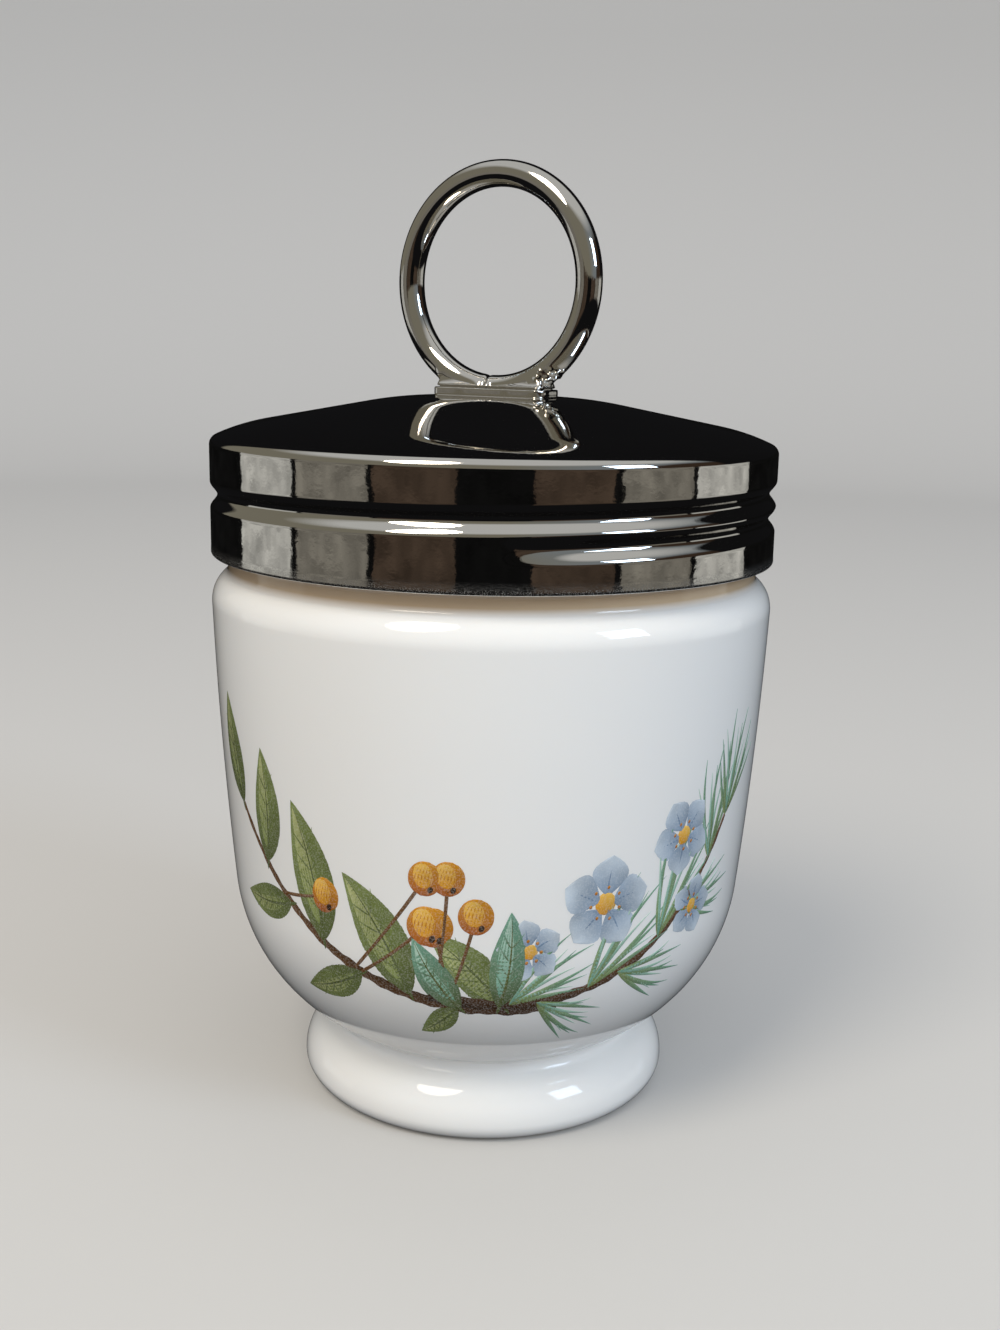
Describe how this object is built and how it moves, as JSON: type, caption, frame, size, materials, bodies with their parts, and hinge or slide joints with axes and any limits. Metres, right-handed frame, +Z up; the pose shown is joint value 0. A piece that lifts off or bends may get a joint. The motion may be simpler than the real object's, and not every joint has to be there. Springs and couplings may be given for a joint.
{
  "type": "egg coddler",
  "caption": "Footed porcelain egg coddler closed by a screw-on metal lid with a rolled thread and an upright ring handle on a small saddle",
  "frame": {"origin": "centre of the flat ring under the foot, on the table", "axes": "+Z up along the axis of the cup; -Y is the front, the side that carries the printed sprig; +X is to the right as the front is seen"},
  "size_m": [0.0604, 0.0604, 0.0998],
  "materials": {
    "porcelain": "clear gloss glaze over white porcelain, with a printed sprig of leaves and berries on the front",
    "plated_sheet": "bright plated sheet metal, mirror polish",
    "plated_casting": "bright plated casting with solder at one end",
    "plated_wire": "bright plated round wire",
    "plated_fixing": "plated, satin"
  },
  "bodies": {
    "cup": {"cup": "porcelain"},
    "lid_core": {"handle_rivet": "plated_fixing", "rivet_washer": "plated_fixing"},
    "lid": {"lid_cap": "plated_sheet", "ring_saddle": "plated_casting", "handle_ring": "plated_wire"}
  },
  "joints": [
    {"name": "lid_lift", "type": "slide", "parent": "cup", "child": "lid_core", "axis": [0, 0, 1], "range_m": [0, 0.0131]},
    {"name": "lid_turn", "type": "hinge", "parent": "lid_core", "child": "lid", "pos_m": [0, 0, 0.0593], "axis": [0, 0, 1], "range_deg": [0, 1800]}
  ],
  "couplings": [
    {"joint": "lid_lift", "follows": "lid_turn", "m_per_rad": 0.0004138}
  ]
}
